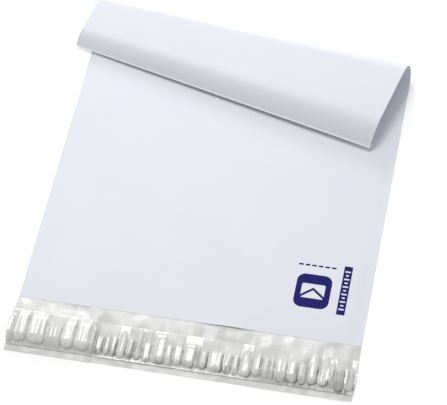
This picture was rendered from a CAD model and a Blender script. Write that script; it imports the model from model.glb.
# %% [markdown]
# # A poly mailer bag in Blender
# A poly mailer is a flat bag of thin white polyethylene film. This one lies on its back, with its
# sealed end rolled over towards the mouth, and its flap shows a band of adhesive under a clear
# release liner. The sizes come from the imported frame, and every piece is built around it.

# %% Load the frame
import math

import bmesh
import bpy
import numpy as np
from mathutils import Matrix, Vector


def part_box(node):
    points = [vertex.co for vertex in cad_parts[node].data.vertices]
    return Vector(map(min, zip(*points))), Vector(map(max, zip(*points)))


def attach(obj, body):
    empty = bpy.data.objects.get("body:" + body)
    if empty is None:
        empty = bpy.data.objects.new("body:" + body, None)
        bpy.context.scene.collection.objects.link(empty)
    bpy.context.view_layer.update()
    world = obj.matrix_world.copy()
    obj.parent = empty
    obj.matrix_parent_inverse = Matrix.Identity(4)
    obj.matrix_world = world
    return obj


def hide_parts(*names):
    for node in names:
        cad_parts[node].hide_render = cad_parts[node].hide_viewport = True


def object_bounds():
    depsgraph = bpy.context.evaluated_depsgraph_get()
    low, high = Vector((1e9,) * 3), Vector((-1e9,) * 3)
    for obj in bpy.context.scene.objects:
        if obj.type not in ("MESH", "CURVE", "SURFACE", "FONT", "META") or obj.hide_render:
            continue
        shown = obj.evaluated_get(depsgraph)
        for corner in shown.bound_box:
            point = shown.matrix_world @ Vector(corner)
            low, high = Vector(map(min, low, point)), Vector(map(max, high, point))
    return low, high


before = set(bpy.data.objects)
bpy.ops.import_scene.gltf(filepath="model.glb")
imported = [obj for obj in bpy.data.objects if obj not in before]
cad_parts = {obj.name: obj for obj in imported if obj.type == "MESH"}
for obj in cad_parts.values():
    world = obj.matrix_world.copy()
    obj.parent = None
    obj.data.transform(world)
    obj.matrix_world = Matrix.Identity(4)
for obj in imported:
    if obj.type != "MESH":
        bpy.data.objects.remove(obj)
cad_low, cad_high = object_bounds()
film_low, film_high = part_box("bag_film")
print("frame:", [round(side * 1000, 1) for side in cad_high - cad_low], "mm")

# %% [markdown]
# ## Sizes
# The bag is cut to a standard size, 9 by 12 inches. The frame's box then gives the place of the
# mouth: the right edge of the film is half a bag from the middle, and the flap's free edge is the
# lowest point in Y.

# %% Sizes of the bag
MM = 0.001
BAG_WIDTH = 228.6 * MM
BAG_LENGTH = 304.8 * MM
FLAP_LENGTH = 40.9 * MM
FILM_THICKNESS = 0.06 * MM
POCKET_GAP = 0.3 * MM
SIDE_WELD = 2.5 * MM
WELD_GAP = 0.02 * MM
WELD_SHOULDER = 8 * MM
PANEL_THICKNESS = 2 * FILM_THICKNESS + POCKET_GAP
HALF_WIDTH = BAG_WIDTH / 2

MIDDLE_X = film_high[0] - HALF_WIDTH
MOUTH_Y = film_low[1] + FLAP_LENGTH
print("mouth edge at Y", round(MOUTH_Y * 1000, 2), "mm")

# %% [markdown]
# ## Camera
# The photograph looks down on the bag from in front of the flap, turned and rolled a little. The
# camera's distance and focal length were fitted to the corners of the flap and the roll. It is
# placed first, because everything that is judged by eye is judged through it.

# %% Camera
IMAGE_WIDTH = 447
SENSOR_WIDTH = 36
FOCAL_PIXELS = 1985.4
CAMERA_AZIMUTH = math.radians(-15.48)
CAMERA_ELEVATION = math.radians(56.0)
CAMERA_ROLL = math.radians(-5.09)
CAMERA_DISTANCE = 1.3452
TARGET_FROM_MIDDLE = 4.55 * MM
TARGET_FROM_MOUTH = 95.1 * MM
CAMERA_TARGET = Vector((MIDDLE_X + TARGET_FROM_MIDDLE, MOUTH_Y + TARGET_FROM_MOUTH, 0))


def place_camera():
    forward = Vector((
        math.sin(CAMERA_AZIMUTH) * math.cos(CAMERA_ELEVATION),
        math.cos(CAMERA_AZIMUTH) * math.cos(CAMERA_ELEVATION),
        -math.sin(CAMERA_ELEVATION),
    ))
    level = Vector((math.cos(CAMERA_AZIMUTH), -math.sin(CAMERA_AZIMUTH), 0))
    above = level.cross(forward)
    right = level * math.cos(CAMERA_ROLL) + above * math.sin(CAMERA_ROLL)
    up = above * math.cos(CAMERA_ROLL) - level * math.sin(CAMERA_ROLL)
    camera = bpy.data.objects.new("camera", bpy.data.cameras.new("camera"))
    camera.data.sensor_width = SENSOR_WIDTH
    camera.data.lens = SENSOR_WIDTH * FOCAL_PIXELS / IMAGE_WIDTH
    turn = Matrix((right, up, -forward)).transposed().to_4x4()
    camera.matrix_world = Matrix.Translation(CAMERA_TARGET - forward * CAMERA_DISTANCE) @ turn
    bpy.context.scene.collection.objects.link(camera)
    bpy.context.scene.camera = camera


place_camera()

# %% [markdown]
# ## The roll
# Film can bend but not stretch, so the rolled end is part of a cone: all its bend lines meet at
# one point, on the line of the sealed end and past the left edge. It is enough to draw the section
# of the roll once, at unit distance from that point, and to scale it along each bend line. The
# section has four stretches: a crest that turns the bag right over, a nearly level stretch, a
# droop that brings the sealed end down to rest on the front panel, and a narrow lip, where the
# stiff end fold turns up again and catches the light.

# %% Section of the roll
ROLL_LENGTH = 58.6 * MM
ROLL_SPREAD = 34.7 * MM
CREST_TURN = math.radians(183.6)
LEVEL_TURN = math.radians(3)
LIP_TURN = math.radians(-62)
CREST_SHARE = 0.302
LEVEL_SHARE = 0.449
LIP_SHARE = 0.02
TURN_SOFTNESS = 0.1
FREE_EDGE_CLEARANCE = 1.5 * MM
ROLL_STEPS = 120
HALVINGS = 40

CONE_REACH = BAG_WIDTH * ROLL_LENGTH / ROLL_SPREAD
ROLL_ANGLE = math.atan(ROLL_SPREAD / BAG_WIDTH)
CONE_X = -HALF_WIDTH - CONE_REACH


def roll_section(droop_turn):
    """How far the film has gone, turned, moved on and risen, at each step from the first bend."""
    middles = (np.arange(ROLL_STEPS) + 0.5) / ROLL_STEPS
    level_end = CREST_SHARE + LEVEL_SHARE
    lip_start = 1 - LIP_SHARE
    stretches = ((0, CREST_SHARE, CREST_TURN, TURN_SOFTNESS),
                 (CREST_SHARE, level_end, LEVEL_TURN, TURN_SOFTNESS),
                 (level_end, lip_start, droop_turn, TURN_SOFTNESS),
                 (lip_start, 1, LIP_TURN, LIP_SHARE / 2))
    bends = np.zeros(ROLL_STEPS)
    for start, end, turn, softness in stretches:
        weights = (np.clip((middles - start) / softness + 0.5, 0, 1)
                   - np.clip((middles - end) / softness + 0.5, 0, 1))
        bends += weights / weights.sum() * turn
    step = ROLL_ANGLE / ROLL_STEPS
    turned = np.concatenate([[0], np.cumsum(bends)])
    halfway = (turned[1:] + turned[:-1]) / 2
    gone = np.arange(ROLL_STEPS + 1) * step
    on = np.concatenate([[0], np.cumsum(np.cos(halfway) * step)])
    up = np.concatenate([[0], np.cumsum(np.sin(halfway) * step)])
    return gone, turned, on, up


def resting_section():
    """The section whose droop brings the sealed end down onto the front panel."""
    rest_height = PANEL_THICKNESS + FREE_EDGE_CLEARANCE
    low, high = 0, math.pi / 2
    for _ in range(HALVINGS):
        droop = (low + high) / 2
        if roll_section(droop)[3][-1] * CONE_REACH > rest_height:
            low = droop
        else:
            high = droop
    return roll_section(low)


section = resting_section()
print("roll turns", round(math.degrees(section[1].max())), "degrees and rises",
      round(section[3].max() * (CONE_REACH + BAG_WIDTH) * 1000, 1), "mm on the right")

# %% [markdown]
# ## The film's shape
# The bag is one strip of film that doubles back at the sealed end. A point on it is given by its
# place across the bag and by its row along the strip: up the flap, along the back panel, round the
# roll, round the end fold, and back along the front panel to the mouth. Each row below is a line
# of points, and a surface is a list of rows.

# %% Helpers for heights


def smooth(value):
    """A soft step from 0 to 1."""
    value = np.clip(value, 0, 1)
    return value * value * (3 - 2 * value)


def ripple(place, length, start=0):
    """A wave from -1 to 1 with a length in metres."""
    return np.sin(2 * math.pi * place / length + start)


# %% [markdown]
# ### Flap
# The flap is a single film that nothing holds flat. It stands off the floor in three bulges with
# steep sides: a long one at the left, which is gathered into small folds, and two at the right.
# Between them it has low waves. All of it grows from the mouth down and dies away at the free
# edge, which lies on the floor. They are the forms of the frame's solid, with the sides of the
# bulges a little steeper and small folds added.

# %% Flap forms
WAVE_HEIGHT = 0.9 * MM
WAVE_LENGTHS = (58 * MM, 34 * MM, 21 * MM)
WAVE_LEAN = 0.35
RISE_RUN = 16 * MM
EDGE_STRIP = 4.5 * MM
EDGE_RUN = 7 * MM
EDGE_SHARE = 0.1
LEFT_BULGE_HEIGHT = 3 * MM
LEFT_BULGE_END = -54.5 * MM
LEFT_BULGE_RUN = 16 * MM
RIGHT_BULGE_HEIGHT = 2.2 * MM
RIGHT_BULGE_START = 46 * MM
RIGHT_BULGE_END = 91 * MM
CORNER_BULGE_HEIGHT = 1.9 * MM
CORNER_BULGE_START = 93 * MM
CORNER_BULGE_END = 111 * MM
BULGE_SHOULDER = 4.5 * MM
FOLD_HEIGHT = 0.2 * MM
FOLD_PITCHES = (12.5 * MM, 7.3 * MM, 4.7 * MM)
LEFT_FOLD_GAIN = 2


def bulge(x, start, end):
    """A rounded plateau from 0 to 1 and back, between two places across the bag."""
    return smooth(np.minimum(x - start, end - x) / BULGE_SHOULDER)


def flap_rise(x, distance):
    """Height of the flap's underside at a distance below the mouth."""
    along = x + WAVE_LEAN * distance
    wave = sum(ripple(along, length, i) for i, length in enumerate(WAVE_LENGTHS))
    waves = WAVE_HEIGHT * (1 + wave / len(WAVE_LENGTHS)) / 2
    left = bulge(x, -HALF_WIDTH - BULGE_SHOULDER, LEFT_BULGE_END)
    right = bulge(x, RIGHT_BULGE_START, RIGHT_BULGE_END)
    corner = bulge(x, CORNER_BULGE_START, CORNER_BULGE_END)
    forms = waves + RIGHT_BULGE_HEIGHT * right + CORNER_BULGE_HEIGHT * corner
    fold = sum(ripple(x, pitch, i) for i, pitch in enumerate(FOLD_PITCHES))
    folds = FOLD_HEIGHT * (1 + fold / len(FOLD_PITCHES)) * (1 + LEFT_FOLD_GAIN * left)
    near_edge = smooth((FLAP_LENGTH - EDGE_STRIP - distance) / EDGE_RUN)
    held = EDGE_SHARE + (1 - EDGE_SHARE) * near_edge
    return held * (smooth(distance / RISE_RUN) * forms
                   + smooth(distance / LEFT_BULGE_RUN) * LEFT_BULGE_HEIGHT * left
                   + smooth((distance - RISE_RUN / 2) / RISE_RUN) * folds)


# %% Rows of the film
MOUTH_LIFT = 0.9 * MM
MOUTH_LIFT_PLACE = 27 * MM
MOUTH_LIFT_WIDTH = 24 * MM
MOUTH_LIFT_REACH = 18 * MM
MOUTH_SHARE = 0.2


def air_gap(x, from_mouth, from_fold):
    """Air between the panels: nearly none at the welds and the end fold, more at the mouth."""
    opened = smooth((HALF_WIDTH - SIDE_WELD - np.abs(x)) / WELD_SHOULDER)
    lift = (MOUTH_LIFT * np.exp(-4 * ((x - MOUTH_LIFT_PLACE) / MOUTH_LIFT_WIDTH) ** 2)
            * np.clip(1 - from_mouth / MOUTH_LIFT_REACH, 0, 1) ** 2)
    air = (POCKET_GAP - WELD_GAP) * smooth(from_fold / WELD_SHOULDER) * smooth(
        (from_mouth + MOUTH_SHARE * MOUTH_LIFT_REACH) / MOUTH_LIFT_REACH)
    return WELD_GAP + opened * (air + lift)


def film_height(gap, front):
    """Height of the middle of one panel's film over the bag's underside."""
    if front:
        return FILM_THICKNESS * 1.5 + gap
    return np.full_like(gap, FILM_THICKNESS * 0.5)


def flap_row(x, distance):
    height = flap_rise(x, distance) + FILM_THICKNESS / 2
    return np.stack([x, np.full_like(x, -distance), height], axis=1)


def flat_row(x, share, front):
    """A row of a panel, from the mouth at share 0 to the first bend at share 1."""
    y = share * (BAG_LENGTH - (x - CONE_X) * math.tan(ROLL_ANGLE))
    height = film_height(air_gap(x, y, WELD_SHOULDER), front)
    return np.stack([x, y, height], axis=1)


def roll_row(x, index, front):
    """A row of the roll, along one of its bend lines."""
    gone, turned, on, up = (values[index] for values in section)
    left = ROLL_ANGLE - gone
    bearing = ROLL_ANGLE - on
    ray = np.array([math.cos(up) * math.cos(bearing), -math.cos(up) * math.sin(bearing),
                    math.sin(up)])
    onwards = np.array([math.sin(bearing), math.cos(bearing), 0])
    upwards = np.array([-math.sin(up) * math.cos(bearing), math.sin(up) * math.sin(bearing),
                        math.cos(up)])
    normal = np.cross(ray, onwards * math.cos(turned) + upwards * math.sin(turned))
    reach = (x - CONE_X) / math.cos(left)
    from_fold = left * (CONE_REACH + HALF_WIDTH)
    height = film_height(air_gap(x, BAG_LENGTH, from_fold), front) - PANEL_THICKNESS / 2
    middle = np.array([CONE_X, BAG_LENGTH, PANEL_THICKNESS / 2])
    return middle + np.outer(reach, ray) + np.outer(height, normal)


# %% [markdown]
# ## From rows to a mesh
# Neighbouring rows are joined by quads. The flap's relief needs columns less than a millimetre
# apart, and the straight bend lines of the roll don't, so a row with fewer points is joined to a
# finer one by fans. The strip is given its thickness by Solidify, which also gives its inner side
# the next material: white outside and silver-grey inside, as this film is made.

# %% Mesh helpers


def to_row_frame(points):
    """Points measured from the middle of the mouth, moved to their place in the frame."""
    return points + np.array([MIDDLE_X, MOUTH_Y, 0])


def join_rows(rows):
    """Vertices and faces of a surface through rows of points, outward side first."""
    starts = np.cumsum([0] + [len(row) for row in rows])
    faces = []
    for index, (low, high) in enumerate(zip(rows[:-1], rows[1:])):
        a, b = starts[index], starts[index + 1]
        if len(low) == len(high):
            i = np.arange(len(low) - 1)
            faces += np.stack([a + i, b + i, b + i + 1, a + i + 1], axis=1).tolist()
            continue
        each = (len(low) - 1) // (len(high) - 1)
        for j in range(len(high) - 1):
            foot = [a + j * each + k for k in range(each, -1, -1)]
            faces.append([b + j, b + j + 1] + foot)
    return np.concatenate(rows), faces


def add_mesh(name, points, faces, materials):
    mesh = bpy.data.meshes.new(name)
    mesh.from_pydata(to_row_frame(points).tolist(), [], faces)
    mesh.validate()
    piece = bpy.data.objects.new(name, mesh)
    bpy.context.scene.collection.objects.link(piece)
    for material in materials:
        mesh.materials.append(material)
    return piece


def add_cut_map(piece, places):
    """A UV map in metres of film, so that patterns follow the film and keep their size."""
    layer = piece.data.uv_layers.new(name="cut")
    loops = np.empty(len(piece.data.loops), dtype=np.int32)
    piece.data.loops.foreach_get("vertex_index", loops)
    layer.data.foreach_set("uv", places[loops].astype(np.float32).ravel())


def finish_mesh(piece, sharp_degrees=50):
    """Bakes the modifiers into the mesh and shades it smooth between its sharp edges."""
    graph = bpy.context.evaluated_depsgraph_get()
    mesh = bpy.data.meshes.new_from_object(piece.evaluated_get(graph))
    piece.modifiers.clear()
    piece.data = mesh
    mesh.shade_smooth()
    mesh.set_sharp_from_angle(angle=math.radians(sharp_degrees))
    return piece


# %% [markdown]
# ## Materials
# Each finish starts from the real material. One small function adds a node, with its settings and
# its links, and another turns a hex colour into the linear values that shaders work in.

# %% Material helpers


def linear(hex_colour):
    """sRGB hex to linear red, green, blue and alpha."""
    channels = [int(hex_colour[i:i + 2], 16) / 255 for i in (1, 3, 5)]
    return tuple(c / 12.92 if c <= 0.04045 else ((c + 0.055) / 1.055) ** 2.4
                 for c in channels) + (1,)


def add_node(tree, kind, settings=None, **inputs):
    """Adds a node. An input is a value or another node's output; names have _ for spaces."""
    node = tree.nodes.new(kind)
    for key, value in (settings or {}).items():
        setattr(node, key, value)
    for key, value in inputs.items():
        socket = node.inputs[int(key[1:])] if key[1:].isdigit() else node.inputs[
            key.replace("_", " ")]
        if isinstance(value, bpy.types.NodeSocket):
            tree.links.new(value, socket)
        else:
            socket.default_value = value
    return node


def new_material(name):
    material = bpy.data.materials.new(name)
    material.use_nodes = True
    material.node_tree.nodes.clear()
    return material


def set_surface(material, shader):
    output = add_node(material.node_tree, "ShaderNodeOutputMaterial")
    material.node_tree.links.new(shader.outputs[0], output.inputs["Surface"])


# %% [markdown]
# ### White polyethylene film
# Blown polyethylene film, filled with white pigment. It is smooth and satin: a soft, wide
# highlight, a faint cool cast, and very fine draw lines along the web, which cloud the highlight
# a little. The draw lines are a fraction of a millimetre apart, and are drawn at 1.5 mm so that
# they show.

# %% White film
DRAW_LINE_SPACING = 1.5 * MM
DRAW_LINE_DEPTH = 0.02 * MM
CLOUD_SIZE = 45 * MM


def white_film():
    material = new_material("white_polyethylene_film")
    tree = material.node_tree
    place = add_node(tree, "ShaderNodeTexCoord").outputs["UV"]
    clouds = add_node(tree, "ShaderNodeTexNoise", Vector=place, Scale=1 / CLOUD_SIZE, Detail=2.0)
    tint = add_node(tree, "ShaderNodeMix", {"data_type": "RGBA"}, Factor=clouds.outputs["Fac"],
                    _6=linear("#E9ECF6"), _7=linear("#F0F2FB"))
    stretched = add_node(tree, "ShaderNodeMapping", Vector=place, Scale=(1, 0.05, 1))
    lines = add_node(tree, "ShaderNodeTexNoise", Vector=stretched.outputs[0],
                     Scale=1 / DRAW_LINE_SPACING, Detail=3.0)
    roughness = add_node(tree, "ShaderNodeMapRange", Value=lines.outputs["Fac"],
                         To_Min=0.42, To_Max=0.5)
    relief = add_node(tree, "ShaderNodeBump", Height=lines.outputs["Fac"], Strength=0.25,
                      Distance=DRAW_LINE_DEPTH)
    shader = add_node(tree, "ShaderNodeBsdfPrincipled", Base_Color=tint.outputs[2],
                      Roughness=roughness.outputs[0], IOR=1.51, Normal=relief.outputs[0])
    set_surface(material, shader)
    return material


# %% [markdown]
# ### Silver-grey inner face
# The inner layer of the film is co-extruded with a silver-grey pigment, so that the contents
# don't show. It is glossier than the outside and has a faint yellow-green cast. Handling leaves
# soft dents in it, which a wide bump stands for: they show as clouds of lighter and darker grey.

# %% Silver inner face
MOTTLE_SIZE = 14 * MM
DENT_SIZE = 22 * MM
DENT_DEPTH = 9 * MM
DENT_SHIFT = 110 * MM


def silver_film():
    material = new_material("silver_polyethylene_film")
    tree = material.node_tree
    place = add_node(tree, "ShaderNodeTexCoord").outputs["UV"]
    clouds = add_node(tree, "ShaderNodeTexNoise", Vector=place, Scale=1 / MOTTLE_SIZE, Detail=3.0)
    tint = add_node(tree, "ShaderNodeMix", {"data_type": "RGBA"}, Factor=clouds.outputs["Fac"],
                    _6=linear("#E3E4E1"), _7=linear("#F0F1EF"))
    shifted = add_node(tree, "ShaderNodeMapping", Vector=place, Location=(DENT_SHIFT, 0, 0))
    dents = add_node(tree, "ShaderNodeTexNoise", Vector=shifted.outputs[0],
                     Scale=1 / DENT_SIZE, Detail=1.0)
    relief = add_node(tree, "ShaderNodeBump", Height=dents.outputs["Fac"], Strength=1.0,
                      Distance=DENT_DEPTH)
    shader = add_node(tree, "ShaderNodeBsdfPrincipled", Base_Color=tint.outputs[2], IOR=1.51,
                      Roughness=0.36, Normal=relief.outputs[0])
    set_surface(material, shader)
    return material


# %% [markdown]
# ### Release liner and adhesive
# The liner is a clear film, siliconed on its lower side. Where it lies smooth it hardly shows.
# Its creases are dark, some of its pillows catch the light, and where it stands well off the flap
# it is milky. The tree that gathers it stores an attribute for each: crease, gloss and haze. The
# hot-melt adhesive under it is clear and a little yellow.

# %% Liner, adhesive and ink
BLOB_SIZE = 5 * MM
INK_GRAIN = 0.8 * MM


def clear_liner():
    material = new_material("clear_release_liner")
    tree = material.node_tree
    crease = add_node(tree, "ShaderNodeAttribute", {"attribute_name": "crease"}).outputs["Fac"]
    tint = add_node(tree, "ShaderNodeMix", {"data_type": "RGBA"}, Factor=crease,
                    _6=linear("#FDFDFB"), _7=linear("#4A4B3C"))
    gloss = add_node(tree, "ShaderNodeAttribute", {"attribute_name": "gloss"}).outputs["Fac"]
    least = add_node(tree, "ShaderNodeMapRange", Value=gloss, To_Min=0.16, To_Max=0.5)
    cover = add_node(tree, "ShaderNodeMapRange", Value=crease, _3=least.outputs[0], To_Max=0.92)
    haze = add_node(tree, "ShaderNodeAttribute", {"attribute_name": "haze"}).outputs["Fac"]
    cover = add_node(tree, "ShaderNodeMath", {"operation": "ADD", "use_clamp": True},
                     _0=cover.outputs[0], _1=haze)
    coat = add_node(tree, "ShaderNodeMapRange", Value=gloss, To_Min=0.1, To_Max=0.8)
    shader = add_node(tree, "ShaderNodeBsdfPrincipled", Base_Color=tint.outputs[2], IOR=1.5,
                      Roughness=0.2, Coat_Weight=coat.outputs[0], Coat_Roughness=0.14,
                      Coat_IOR=1.8, Alpha=cover.outputs[0])
    set_surface(material, shader)
    return material


def clear_adhesive():
    material = new_material("clear_hot_melt_adhesive")
    tree = material.node_tree
    place = add_node(tree, "ShaderNodeTexCoord").outputs["Object"]
    blobs = add_node(tree, "ShaderNodeTexNoise", Vector=place, Scale=1 / BLOB_SIZE, Detail=2.0)
    tint = add_node(tree, "ShaderNodeMix", {"data_type": "RGBA"}, Factor=blobs.outputs["Fac"],
                    _6=linear("#F1F1E8"), _7=linear("#F8F8F2"))
    shader = add_node(tree, "ShaderNodeBsdfPrincipled", Base_Color=tint.outputs[2], IOR=1.48,
                      Roughness=0.22)
    set_surface(material, shader)
    return material


def ink(name, hex_colour):
    material = new_material(name)
    tree = material.node_tree
    place = add_node(tree, "ShaderNodeTexCoord").outputs["Object"]
    grain = add_node(tree, "ShaderNodeTexNoise", Vector=place, Scale=1 / INK_GRAIN, Detail=2.0)
    roughness = add_node(tree, "ShaderNodeMapRange", Value=grain.outputs["Fac"],
                         To_Min=0.4, To_Max=0.55)
    shader = add_node(tree, "ShaderNodeBsdfPrincipled", Base_Color=linear(hex_colour), IOR=1.5,
                      Specular_IOR_Level=0.1, Roughness=roughness.outputs[0])
    set_surface(material, shader)
    return material


outside, inside = white_film(), silver_film()

# %% [markdown]
# ## The bag film
# Here the rows are laid out: fine ones up the flap, coarse ones along both panels, and one for
# each step of the roll.

# %% Build the film
FINE_COLUMNS = 320
COARSE_COLUMNS = 80
FLAP_ROWS = 56
BACK_ROWS = 10
FRONT_ROWS = 40
END_FOLD_ROWS = 3


def film_rows():
    fine = np.linspace(-HALF_WIDTH, HALF_WIDTH, FINE_COLUMNS + 1)
    coarse = np.linspace(-HALF_WIDTH, HALF_WIDTH, COARSE_COLUMNS + 1)
    rows = [flap_row(fine, distance) for distance in np.linspace(FLAP_LENGTH, 0, FLAP_ROWS)]
    rows += [flat_row(coarse, share, False) for share in np.linspace(0, 1, BACK_ROWS)[1:]]
    rows += [roll_row(coarse, index, False) for index in range(1, ROLL_STEPS + 1)]
    last_back, last_front = (roll_row(coarse, ROLL_STEPS, front) for front in (False, True))
    before = roll_row(coarse, ROLL_STEPS - 1, False)
    outwards = (last_back - before) / np.linalg.norm(last_back - before, axis=1)[:, None]
    radius = np.linalg.norm(last_front - last_back, axis=1)[:, None] / 2
    for angle in np.linspace(0, math.pi, END_FOLD_ROWS + 2)[1:-1]:
        middle = (last_back + last_front) / 2 + outwards * radius * math.sin(angle)
        rows.append(middle + (last_back - last_front) / 2 * math.cos(angle))
    rows += [roll_row(coarse, index, True) for index in range(ROLL_STEPS, 0, -1)]
    rows += [flat_row(coarse, share, True) for share in np.linspace(1, 0, FRONT_ROWS)]
    return rows


def cut_places(rows):
    """Each point's place on the flat film: across it, and along it from the flap's free edge."""
    places, along = [], 0.0
    for index, row in enumerate(rows):
        middle = row[len(row) // 2]
        if index:
            along += np.linalg.norm(middle - last)
        last = middle
        across = np.linspace(0, BAG_WIDTH, len(row))
        places.append(np.stack([across, np.full(len(row), along)], axis=1))
    return np.concatenate(places)


def build_film():
    rows = film_rows()
    points, faces = join_rows(rows)
    piece = add_mesh("mailer_film", points, faces, [outside, inside])
    add_cut_map(piece, cut_places(rows))
    wall = piece.modifiers.new("wall", "SOLIDIFY")
    wall.thickness = FILM_THICKNESS
    wall.offset = 0
    wall.material_offset = 1
    finish_mesh(piece)
    print("film:", len(piece.data.polygons), "faces")
    return piece


film = build_film()

# %% [markdown]
# ## Adhesive band
# A thin band of hot-melt lies on the flap under the liner. It follows the flap's waves. The liner
# ends where the flap's flat strip along the free edge begins.

# %% Build the adhesive band
LINER_WIDTH = 25 * MM
LINER_THICKNESS = 0.05 * MM
ADHESIVE_INSET = 1.2 * MM
ADHESIVE_WIDTH = 14 * MM
ADHESIVE_THICKNESS = 0.1 * MM
ADHESIVE_ROWS = 16
SEAT_GAP = 0.3 * MM
LINER_END = FLAP_LENGTH - EDGE_STRIP
LINER_START = LINER_END - LINER_WIDTH
ADHESIVE_END = LINER_END - ADHESIVE_INSET
ADHESIVE_START = ADHESIVE_END - ADHESIVE_WIDTH


def build_adhesive():
    reach = HALF_WIDTH - SIDE_WELD
    x = np.linspace(-reach, reach, FINE_COLUMNS + 1)
    rows = []
    for distance in np.linspace(ADHESIVE_END, ADHESIVE_START, ADHESIVE_ROWS):
        height = flap_rise(x, distance) + FILM_THICKNESS + SEAT_GAP + ADHESIVE_THICKNESS / 2
        rows.append(np.stack([x, np.full_like(x, -distance), height], axis=1))
    points, faces = join_rows(rows)
    piece = add_mesh("adhesive_band", points, faces, [clear_adhesive()])
    wall = piece.modifiers.new("wall", "SOLIDIFY")
    wall.thickness = ADHESIVE_THICKNESS
    wall.offset = 0
    return finish_mesh(piece)


adhesive = build_adhesive()

# %% [markdown]
# ## Release liner
# The liner is a strip of clear film over the adhesive. It was laid on in gathers, so air stands
# under it in a row of small pillows: wide and narrow ones by turns, with rounded feet, and with a
# dark line where the film is drawn down between them. That is a pattern that follows a rule, so
# Geometry Nodes raise it on a plain strip. A one-dimensional Voronoi pattern gives pillows of
# uneven width, and the distance to a pillow's rounded outline gives its height and its dark rim,
# which is wider on the side away from the light. Each pillow draws its own start below the mouth,
# its fullness, and whether it is glossy, milky or dull, and long streaks run through them all. At
# the left, where the flap's bulge leaves the liner loose, they are wider, higher and whiter.

# %% [markdown]
# ### What a pillow draws
# The Voronoi pattern gives each pillow a colour of its own, so three numbers from 0 to 1. The
# first sets where the pillow starts, the second how far its foot reaches and whether it is milky
# or dull, and the third how full it is and whether it is glossy. The film is held down where it
# lies over the adhesive, and only there is it creased.

# %% Lengths and limits in the gathers
LOOSE_SHOULDER = 2 * MM
HELD_SHOULDER = (-1 * MM, 2 * MM)
START_SPREAD = 6 * MM
SWAY_LENGTH = 17 * MM
WRINKLE_WIDTH = 1.7 * MM
STREAK_WIDTH = 1.5 * MM
PATCH_SIZE = 6 * MM
FULLNESS = (0.55, 1.3)
STREAK_SHADE = 0.6
DULL_BELOW = 0.14
DULL_SHADE = 0.35
PATCH_SHADE = (0.4, 1.05)
LOOSE_SHADE = 0.35
MILKY_ABOVE = 0.8
LOOSE_MILKY_ABOVE = 0.3
FIRM_WHITENESS = 0.4
GLOSSY_ABOVE = 0.7

# %% Cells along the strip


def pillow_cells(tree, size, along, folds, loose):
    """Cells of uneven width: each point's place in its cell, and the cell's random draws."""
    sway = add_node(tree, "ShaderNodeTexNoise", Vector=folds, Scale=1 / SWAY_LENGTH, Detail=1.0)
    sideways = add_node(tree, "ShaderNodeMath", {"operation": "MULTIPLY_ADD"},
                        _0=sway.outputs["Fac"], _1=size["Sway"], _2=along)
    wider = add_node(tree, "ShaderNodeMath", {"operation": "MULTIPLY"}, _0=size["Pitch"],
                     _1=size["Loose Widening"])
    pitch = add_node(tree, "ShaderNodeMix", {"data_type": "FLOAT"}, Factor=loose,
                     _2=size["Pitch"], _3=wider.outputs[0])
    cell = add_node(tree, "ShaderNodeMath", {"operation": "DIVIDE"}, _0=sideways.outputs[0],
                    _1=pitch.outputs[0])
    border = add_node(tree, "ShaderNodeTexVoronoi", {"voronoi_dimensions": "1D",
                      "feature": "DISTANCE_TO_EDGE"}, W=cell.outputs[0], Scale=1.0)
    own = add_node(tree, "ShaderNodeTexVoronoi", {"voronoi_dimensions": "1D"},
                   W=cell.outputs[0], Scale=1.0)
    chance = add_node(tree, "FunctionNodeSeparateColor", _0=own.outputs["Color"])
    aside = add_node(tree, "ShaderNodeMath", {"operation": "MULTIPLY"},
                     _0=border.outputs["Distance"], _1=pitch.outputs[0])
    off_middle = add_node(tree, "ShaderNodeMath", {"operation": "SUBTRACT"}, _0=cell.outputs[0],
                          _1=own.outputs["W"])
    return aside.outputs[0], off_middle.outputs[0], chance.outputs


# %% Outline and height of the pillows


def pillow_outline(tree, size, up, aside, chance):
    """How far each point is inside its pillow's rounded outline, and below its upper end."""
    later = add_node(tree, "ShaderNodeMapRange", Value=chance[0], To_Max=START_SPREAD)
    top = add_node(tree, "ShaderNodeMath", {"operation": "SUBTRACT"}, _0=size["Upper Edge"],
                   _1=later.outputs[0])
    under = add_node(tree, "ShaderNodeMath", {"operation": "SUBTRACT"}, _0=top.outputs[0], _1=up)
    foot = add_node(tree, "ShaderNodeMath", {"operation": "MULTIPLY_ADD"}, _0=chance[1],
                    _1=size["Scatter"], _2=size["Lower Edge"])
    over = add_node(tree, "ShaderNodeMath", {"operation": "SUBTRACT"}, _0=up, _1=foot.outputs[0])
    outer, twice = (add_node(tree, "ShaderNodeMath", {"operation": "MULTIPLY"},
                             _0=size["Round"], _1=factor).outputs[0] for factor in (-1.0, 2.0))
    shortfall = [add_node(tree, "ShaderNodeMapRange", Value=value, _1=outer, _2=size["Round"],
                          _3=twice, To_Max=0.0).outputs[0]
                 for value in (aside, over.outputs[0])]
    corner = add_node(tree, "ShaderNodeCombineXYZ", X=shortfall[0], Y=shortfall[1])
    corner = add_node(tree, "ShaderNodeVectorMath", {"operation": "LENGTH"},
                      _0=corner.outputs[0])
    inside = add_node(tree, "ShaderNodeMath", {"operation": "SUBTRACT"}, _0=size["Round"],
                      _1=corner.outputs["Value"])
    return inside.outputs[0], under.outputs[0]


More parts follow.
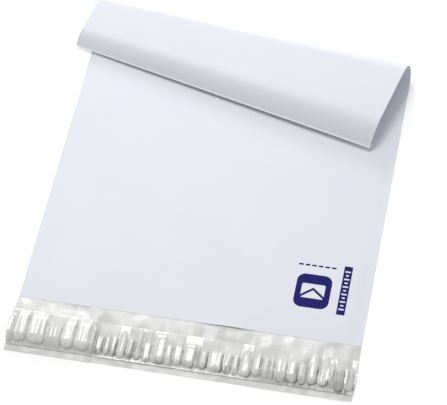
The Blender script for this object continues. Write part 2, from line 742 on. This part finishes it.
def pillow_rise(tree, size, swelling, under, folds, loose, chance):
    """Height of the gathered film over the plain strip."""
    fullness = add_node(tree, "ShaderNodeMapRange", Value=chance[2], To_Min=FULLNESS[0],
                        To_Max=FULLNESS[1])
    ramp = add_node(tree, "ShaderNodeMapRange", {"interpolation_type": "SMOOTHSTEP"},
                    Value=under, _2=size["Ramp"], To_Max=1.0)
    pillow = swelling
    for share in (fullness, ramp):
        pillow = add_node(tree, "ShaderNodeMath", {"operation": "MULTIPLY"}, _0=pillow,
                          _1=share.outputs[0]).outputs[0]
    height = add_node(tree, "ShaderNodeMix", {"data_type": "FLOAT"}, Factor=loose,
                      _2=size["Height"], _3=size["Loose Height"])
    wrinkles = add_node(tree, "ShaderNodeTexNoise", Vector=folds, Scale=1 / WRINKLE_WIDTH,
                        Detail=2.0)
    wrinkle = add_node(tree, "ShaderNodeMath", {"operation": "MULTIPLY"},
                       _0=wrinkles.outputs["Fac"], _1=size["Wrinkle"])
    rise = add_node(tree, "ShaderNodeMath", {"operation": "MULTIPLY_ADD"}, _0=pillow,
                    _1=height.outputs[0], _2=wrinkle.outputs[0])
    return rise.outputs[0]


# %% Creases, haze and gloss


def pillow_creases(tree, size, place, streaky, inside, off_middle, chance):
    """Dark lines: one-sided rims, long streaks and dull pillows, drawn stronger in patches."""
    off_rim = add_node(tree, "ShaderNodeMath", {"operation": "ABSOLUTE"}, _0=inside)
    side = add_node(tree, "ShaderNodeMapRange", Value=off_middle, _1=-0.1, _2=0.3, To_Min=0.6,
                    To_Max=1.9)
    rim_width = add_node(tree, "ShaderNodeMath", {"operation": "MULTIPLY"}, _0=side.outputs[0],
                         _1=size["Rim"])
    crease = add_node(tree, "ShaderNodeMapRange", {"interpolation_type": "SMOOTHSTEP"},
                      Value=off_rim.outputs[0], _2=rim_width.outputs[0], _3=1.0, To_Max=0.0)
    streaks = add_node(tree, "ShaderNodeTexNoise", Vector=streaky, Scale=1 / STREAK_WIDTH,
                       Detail=1.0)
    streak = add_node(tree, "ShaderNodeMapRange", {"interpolation_type": "SMOOTHSTEP"},
                      Value=streaks.outputs["Fac"], _1=0.52, _2=0.64, To_Max=STREAK_SHADE)
    dull = add_node(tree, "ShaderNodeMath", {"operation": "LESS_THAN"}, _0=chance[1],
                    _1=DULL_BELOW)
    dull = add_node(tree, "ShaderNodeMath", {"operation": "MULTIPLY"}, _0=dull.outputs[0],
                    _1=DULL_SHADE)
    for shade in (streak, dull):
        crease = add_node(tree, "ShaderNodeMath", {"operation": "MAXIMUM"},
                          _0=crease.outputs[0], _1=shade.outputs[0])
    patches = add_node(tree, "ShaderNodeTexNoise", Vector=place, Scale=1 / PATCH_SIZE, Detail=1.0)
    drawn = add_node(tree, "ShaderNodeMapRange", Value=patches.outputs["Fac"], From_Min=0.35,
                     From_Max=0.65, To_Min=PATCH_SHADE[0], To_Max=PATCH_SHADE[1])
    crease = add_node(tree, "ShaderNodeMath", {"operation": "MULTIPLY"}, _0=crease.outputs[0],
                      _1=drawn.outputs[0])
    return crease.outputs[0]


def pillow_haze(tree, swelling, loose, chance):
    """Some pillows are milky: few where the film is held down, and most where it is loose."""
    least = add_node(tree, "ShaderNodeMix", {"data_type": "FLOAT"}, Factor=loose,
                     _2=MILKY_ABOVE, _3=LOOSE_MILKY_ABOVE)
    milky = add_node(tree, "ShaderNodeMath", {"operation": "GREATER_THAN"}, _0=chance[1],
                     _1=least.outputs[0]).outputs[0]
    whiteness = add_node(tree, "ShaderNodeMapRange", Value=loose, To_Min=FIRM_WHITENESS)
    for share in (swelling, whiteness.outputs[0]):
        milky = add_node(tree, "ShaderNodeMath", {"operation": "MULTIPLY"}, _0=milky,
                         _1=share).outputs[0]
    return milky


# %% Tree that gathers a strip into pillows


def pillow_tree():
    tree = bpy.data.node_groups.new("gathered_into_pillows", "GeometryNodeTree")
    sockets = tree.interface
    sockets.new_socket("Strip", in_out="INPUT", socket_type="NodeSocketGeometry")
    for name in ("Pitch", "Height", "Round", "Swell", "Rim", "Ramp", "Upper Edge", "Lower Edge",
                 "Held From", "Loose Until", "Loose Height", "Loose Widening", "Scatter", "Sway",
                 "Wrinkle"):
        sockets.new_socket(name, in_out="INPUT", socket_type="NodeSocketFloat")
    sockets.new_socket("Finish", in_out="INPUT", socket_type="NodeSocketMaterial")
    sockets.new_socket("Liner", in_out="OUTPUT", socket_type="NodeSocketGeometry")
    size = add_node(tree, "NodeGroupInput").outputs
    place = add_node(tree, "GeometryNodeInputPosition").outputs[0]
    part = add_node(tree, "ShaderNodeSeparateXYZ", _0=place)
    along, up = part.outputs["X"], part.outputs["Y"]
    folds, streaky = (add_node(tree, "ShaderNodeVectorMath", {"operation": "MULTIPLY"},
                               _0=place, _1=(1, stretch, 1)).outputs[0]
                      for stretch in (0.14, 0.06))
    firm_start = add_node(tree, "ShaderNodeMath", {"operation": "ADD"}, _0=size["Loose Until"],
                          _1=LOOSE_SHOULDER)
    loose = add_node(tree, "ShaderNodeMapRange", Value=along, _1=size["Loose Until"],
                     _2=firm_start.outputs[0], _3=1.0, To_Max=0.0).outputs[0]
    below = add_node(tree, "ShaderNodeMath", {"operation": "SUBTRACT"}, _0=size["Held From"],
                     _1=up)
    held = add_node(tree, "ShaderNodeMapRange", Value=below.outputs[0], _1=HELD_SHOULDER[0],
                    _2=HELD_SHOULDER[1]).outputs[0]

    aside, off_middle, chance = pillow_cells(tree, size, along, folds, loose)
    inside, under = pillow_outline(tree, size, up, aside, chance)
    swelling = add_node(tree, "ShaderNodeMapRange", {"interpolation_type": "SMOOTHSTEP"},
                        Value=inside, _2=size["Swell"], To_Max=1.0).outputs[0]
    lift = add_node(tree, "ShaderNodeCombineXYZ",
                    Z=pillow_rise(tree, size, swelling, under, folds, loose, chance))
    marked = add_node(tree, "GeometryNodeSetPosition", Geometry=size["Strip"],
                      Offset=lift.outputs[0])

    crease = pillow_creases(tree, size, place, streaky, inside, off_middle, chance)
    firm = add_node(tree, "ShaderNodeMapRange", Value=loose, _3=1.0, To_Max=LOOSE_SHADE)
    for share in (held, firm.outputs[0]):
        crease = add_node(tree, "ShaderNodeMath", {"operation": "MULTIPLY"}, _0=crease,
                          _1=share).outputs[0]
    glossy = add_node(tree, "ShaderNodeMath", {"operation": "GREATER_THAN"}, _0=chance[2],
                      _1=GLOSSY_ABOVE)
    glossy = add_node(tree, "ShaderNodeMath", {"operation": "MAXIMUM"}, _0=glossy.outputs[0],
                      _1=held).outputs[0]
    haze = pillow_haze(tree, swelling, loose, chance)
    for name, value in (("crease", crease), ("haze", haze), ("gloss", glossy)):
        marked = add_node(tree, "GeometryNodeStoreNamedAttribute", Geometry=marked.outputs[0],
                          Name=name, Value=value)
    real = add_node(tree, "GeometryNodeRealizeInstances", Geometry=marked.outputs[0])
    dressed = add_node(tree, "GeometryNodeSetMaterial", Geometry=real.outputs[0],
                       Material=size["Finish"])
    add_node(tree, "NodeGroupOutput", Liner=dressed.outputs[0])
    return tree


# %% Run a tree on a piece


def grow(piece, tree, **values):
    """Adds a Geometry Nodes modifier and sets its inputs by their sockets' identifiers."""
    modifier = piece.modifiers.new(tree.name, "NODES")
    modifier.node_group = tree
    sockets = {item.name: item.identifier for item in tree.interface.items_tree
               if item.in_out == "INPUT"}
    for name, value in values.items():
        modifier[sockets[name.replace("_", " ")]] = value
    return modifier


# %% Build the release liner
LINER_COLUMNS = 800
LINER_ROWS = 50
PILLOW_PITCH = 6.2 * MM
PILLOW_HEIGHT = 0.9 * MM
LOOSE_HEIGHT = 1.8 * MM


def build_liner():
    x = np.linspace(-HALF_WIDTH, HALF_WIDTH, LINER_COLUMNS + 1)
    rows = []
    for distance in np.linspace(LINER_END, LINER_START, LINER_ROWS + 1):
        height = flap_rise(x, distance) + FILM_THICKNESS + SEAT_GAP + ADHESIVE_THICKNESS + SEAT_GAP
        rows.append(np.stack([x, np.full_like(x, -distance), height], axis=1))
    points, faces = join_rows(rows)
    finish = clear_liner()
    piece = add_mesh("gathered_release_liner", points, faces, [finish])
    grow(piece, pillow_tree(), Pitch=PILLOW_PITCH, Height=PILLOW_HEIGHT, Round=3.2 * MM,
         Swell=2.2 * MM, Rim=0.7 * MM, Ramp=5 * MM, Upper_Edge=MOUTH_Y - LINER_START,
         Lower_Edge=MOUTH_Y - LINER_END + 0.6 * MM, Held_From=MOUTH_Y - ADHESIVE_START,
         Loose_Until=MIDDLE_X + LEFT_BULGE_END - 2 * MM, Loose_Height=LOOSE_HEIGHT,
         Loose_Widening=1.6, Scatter=2.2 * MM, Sway=8 * MM, Wrinkle=0.3 * MM, Finish=finish)
    wall = piece.modifiers.new("wall", "SOLIDIFY")
    wall.thickness = LINER_THICKNESS
    wall.offset = 0
    finish_mesh(piece)
    print("liner:", len(piece.data.polygons), "faces")
    return piece


liner = build_liner()

# %% [markdown]
# ## Print
# The print is ink on the front panel, near the mouth: a rounded block with a plain envelope cut
# out of it, a bar with ruler ticks, and a dashed rule. Each is a closed plate a hundredth of a
# millimetre thick, cut from a flat curve, because a curve fills its outline and leaves its holes
# open. The ticks repeat, so a Geometry Nodes tree sets them out along the bar.

# %% Helpers for plates of ink
INK_THICKNESS = 0.01 * MM
INK_LIFT = 0.004 * MM
MERGE_DISTANCE = 0.0001 * MM
INK_TOP = PANEL_THICKNESS + INK_LIFT + INK_THICKNESS


def rounded_outline(middle, size, radius, steps=8):
    """Corners of a rectangle with round corners, in order round it."""
    points = []
    for quarter, (sx, sy) in enumerate(((1, 1), (-1, 1), (-1, -1), (1, -1))):
        centre_x = middle[0] + sx * (size[0] / 2 - radius)
        centre_y = middle[1] + sy * (size[1] / 2 - radius)
        for angle in np.linspace(quarter, quarter + 1, steps + 1) * math.pi / 2:
            points.append((centre_x + radius * math.cos(angle),
                           centre_y + radius * math.sin(angle)))
    return points


def ink_plate(name, outlines, material):
    """A thin plate filled between closed outlines, lying on the front panel."""
    curve = bpy.data.curves.new(name, "CURVE")
    curve.dimensions = "2D"
    curve.fill_mode = "BOTH"
    curve.extrude = INK_THICKNESS / 2
    for outline in outlines:
        spline = curve.splines.new("POLY")
        spline.points.add(len(outline) - 1)
        for point, (x, y) in zip(spline.points, outline):
            point.co = (x + MIDDLE_X, y + MOUTH_Y, 0, 1)
        spline.use_cyclic_u = True
    holder = bpy.data.objects.new(name, curve)
    bpy.context.scene.collection.objects.link(holder)
    graph = bpy.context.evaluated_depsgraph_get()
    mesh = bpy.data.meshes.new_from_object(holder.evaluated_get(graph))
    bpy.data.objects.remove(holder)
    mesh.transform(Matrix.Translation((0, 0, INK_TOP - INK_THICKNESS / 2)))
    mesh.materials.clear()
    mesh.materials.append(material)
    shape = bmesh.new()
    shape.from_mesh(mesh)
    bmesh.ops.remove_doubles(shape, verts=shape.verts, dist=MERGE_DISTANCE)
    bmesh.ops.recalc_face_normals(shape, faces=shape.faces)
    shape.to_mesh(mesh)
    shape.free()
    piece = bpy.data.objects.new(name, mesh)
    bpy.context.scene.collection.objects.link(piece)
    return piece


# %% Cut out the print
BLOCK_MIDDLE = (76.2 * MM, 35.6 * MM)
BLOCK_SIZE = (23.4 * MM, 25.6 * MM)
BLOCK_RADIUS = 5.5 * MM
ENVELOPE_SIZE = (15.6 * MM, 11 * MM)
ENVELOPE_RADIUS = 1.2 * MM
ENVELOPE_FOLD_DROP = 6.2 * MM
ENVELOPE_FOLD_RISE = 2.1 * MM
BAR_MIDDLE = (96.7 * MM, 39.4 * MM)
BAR_SIZE = (5.6 * MM, 37.4 * MM)
BAR_RADIUS = 0.4 * MM
navy = ink("navy_ink", "#161570")


def build_block():
    """The block, with an envelope left bare in it, seen upside down from the mouth."""
    x, y = BLOCK_MIDDLE
    half, tall = ENVELOPE_SIZE[0] / 2, ENVELOPE_SIZE[1] / 2
    bare = rounded_outline(BLOCK_MIDDLE, ENVELOPE_SIZE, ENVELOPE_RADIUS)
    foot = y - tall
    fold = [(x - half, foot), (x, foot + ENVELOPE_FOLD_DROP), (x + half, foot),
            (x + half, foot + ENVELOPE_FOLD_RISE),
            (x, foot + ENVELOPE_FOLD_DROP + ENVELOPE_FOLD_RISE),
            (x - half, foot + ENVELOPE_FOLD_RISE)]
    block = ink_plate("print_block", [rounded_outline(BLOCK_MIDDLE, BLOCK_SIZE, BLOCK_RADIUS),
                                      bare], navy)
    chevron = ink_plate("print_envelope_fold", [fold], navy)
    return [block, chevron]


print_pieces = build_block()
print_pieces.append(ink_plate("print_bar", [rounded_outline(BAR_MIDDLE, BAR_SIZE, BAR_RADIUS)],
                              navy))

# %% Tree that sets out marks in a line


def mark_tree():
    tree = bpy.data.node_groups.new("marks_in_a_line", "GeometryNodeTree")
    sockets = tree.interface
    sockets.new_socket("Base", in_out="INPUT", socket_type="NodeSocketGeometry")
    sockets.new_socket("Count", in_out="INPUT", socket_type="NodeSocketInt")
    for name in ("Start", "Step", "Mark"):
        sockets.new_socket(name, in_out="INPUT", socket_type="NodeSocketVector")
    sockets.new_socket("Short", in_out="INPUT", socket_type="NodeSocketFloat")
    sockets.new_socket("Finish", in_out="INPUT", socket_type="NodeSocketMaterial")
    sockets.new_socket("Marks", in_out="OUTPUT", socket_type="NodeSocketGeometry")
    size = add_node(tree, "NodeGroupInput").outputs
    line = add_node(tree, "GeometryNodeMeshLine", Count=size["Count"],
                    Start_Location=size["Start"], Offset=size["Step"])
    mark = add_node(tree, "GeometryNodeMeshCube", Size=size["Mark"])
    index = add_node(tree, "GeometryNodeInputIndex")
    odd = add_node(tree, "ShaderNodeMath", {"operation": "MODULO"}, _0=index.outputs[0], _1=2.0)
    reach = add_node(tree, "ShaderNodeMapRange", Value=odd.outputs[0], _3=1.0,
                     _4=size["Short"])
    scale = add_node(tree, "ShaderNodeCombineXYZ", X=reach.outputs[0], Y=1.0, Z=1.0)
    marks = add_node(tree, "GeometryNodeInstanceOnPoints", Points=line.outputs[0],
                     Instance=mark.outputs[0], Scale=scale.outputs[0])
    real = add_node(tree, "GeometryNodeRealizeInstances", Geometry=marks.outputs[0])
    dressed = add_node(tree, "GeometryNodeSetMaterial", Geometry=real.outputs[0],
                       Material=size["Finish"])
    add_node(tree, "NodeGroupOutput", Marks=dressed.outputs[0])
    return tree


marks = mark_tree()


def build_marks(name, middle, step, count, mark_size, short, height, material):
    """Plates of ink in a line, every second one shortened."""
    piece = add_mesh(name, np.zeros((1, 3)), [], [])
    start = [middle[0] + MIDDLE_X - step[0] * (count - 1) / 2,
             middle[1] + MOUTH_Y - step[1] * (count - 1) / 2, height - INK_THICKNESS / 2]
    grow(piece, marks, Count=count, Start=start, Step=(step[0], step[1], 0),
         Mark=(mark_size[0], mark_size[1], INK_THICKNESS), Short=short, Finish=material)
    return finish_mesh(piece)


# %% Ticks on the bar, and the dashed rule
TICK_PITCH = 2.9 * MM
TICK_COUNT = 11
TICK_SIZE = (3.6 * MM, 1.1 * MM)
SHORT_TICK = 0.55
RULE_MIDDLE = (76.2 * MM, 55.3 * MM)
DASH_PITCH = 4.4 * MM
DASH_COUNT = 6
DASH_SIZE = (3.1 * MM, 1.3 * MM)

ticks = build_marks("print_bar_ticks", BAR_MIDDLE, (0, TICK_PITCH), TICK_COUNT, TICK_SIZE,
                    SHORT_TICK, INK_TOP + INK_LIFT + INK_THICKNESS, ink("white_ink", "#F4F5FA"))
print_pieces.append(build_marks("print_dashed_rule", RULE_MIDDLE, (DASH_PITCH, 0), DASH_COUNT,
                                DASH_SIZE, 1, INK_TOP, navy))
print("ticks and dashes:", len(ticks.data.polygons) // 6, DASH_COUNT)

# %% [markdown]
# ## Floor, light and world
# A plain white floor, a white world and two large soft lamps behind the bag: a high one, and a
# low one whose light comes along the film and brings out the droop, the lip and the pillows. The
# world shows white to the camera at strength 1, and the lamps light the bag at a level where a
# colour renders as it is written.

# %% Floor
FLOOR_SIZE = 3.0
FLOOR_GLOW = 0.22
FLOOR_CLEARANCE = 0.05 * MM


def build_floor():
    mesh = bpy.data.meshes.new("floor")
    half = FLOOR_SIZE / 2
    corners = [(-half, -half, 0), (half, -half, 0), (half, half, 0), (-half, half, 0)]
    mesh.from_pydata(corners, [], [(0, 1, 2, 3)])
    floor = bpy.data.objects.new("floor", mesh)
    floor.location.z = cad_low[2] - FLOOR_CLEARANCE
    bpy.context.scene.collection.objects.link(floor)
    material = new_material("white_paper_sweep")
    tree = material.node_tree
    seen = add_node(tree, "ShaderNodeLightPath").outputs["Is Camera Ray"]
    glow = add_node(tree, "ShaderNodeMapRange", Value=seen, To_Max=FLOOR_GLOW)
    paper = add_node(tree, "ShaderNodeBsdfDiffuse", Color=(1, 1, 1, 1))
    light = add_node(tree, "ShaderNodeEmission", Color=(1, 1, 1, 1), Strength=glow.outputs[0])
    set_surface(material, add_node(tree, "ShaderNodeAddShader", _0=paper.outputs[0],
                                   _1=light.outputs[0]))
    mesh.materials.append(material)


build_floor()

# %% World and lamps
WORLD_STRENGTH = 0.5
LAMP_AIM = (0, 0.1, 0)


def build_world():
    world = bpy.data.worlds.new("white_studio")
    world.use_nodes = True
    tree = world.node_tree
    tree.nodes.clear()
    seen = add_node(tree, "ShaderNodeLightPath").outputs["Is Camera Ray"]
    strength = add_node(tree, "ShaderNodeMapRange", Value=seen, To_Min=WORLD_STRENGTH, To_Max=1.0)
    background = add_node(tree, "ShaderNodeBackground", Color=(1, 1, 1, 1),
                          Strength=strength.outputs[0])
    output = add_node(tree, "ShaderNodeOutputWorld")
    tree.links.new(background.outputs[0], output.inputs["Surface"])
    bpy.context.scene.world = world


def add_lamp(name, place, size, power):
    lamp = bpy.data.lights.new(name, "AREA")
    lamp.shape = "RECTANGLE"
    lamp.size, lamp.size_y = size
    lamp.energy = power
    holder = bpy.data.objects.new(name, lamp)
    holder.location = place
    holder.rotation_euler = (Vector(LAMP_AIM) - Vector(place)).to_track_quat("-Z", "Y").to_euler()
    bpy.context.scene.collection.objects.link(holder)


build_world()
add_lamp("key_softbox", place=(-0.35, 0.7, 1.4), size=(0.8, 0.5), power=8.9)
add_lamp("low_softbox", place=(-0.35, 1.25, 0.45), size=(0.6, 0.25), power=5.6)
bpy.context.scene.view_settings.view_transform = "Standard"

# %% [markdown]
# ## Hand the pieces to the frame
# Each piece rides on the bag's one body, stands for its CAD solid, and takes a finish slot. The
# film and the liner are declared as sheets, with the size that they were cut to.

# %% Pieces and frame
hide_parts("bag_film")
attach(film, "root")
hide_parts("adhesive_strip")
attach(adhesive, "root")
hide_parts("release_liner")
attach(liner, "root")
for piece in print_pieces:
    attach(piece, "root")
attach(ticks, "root")
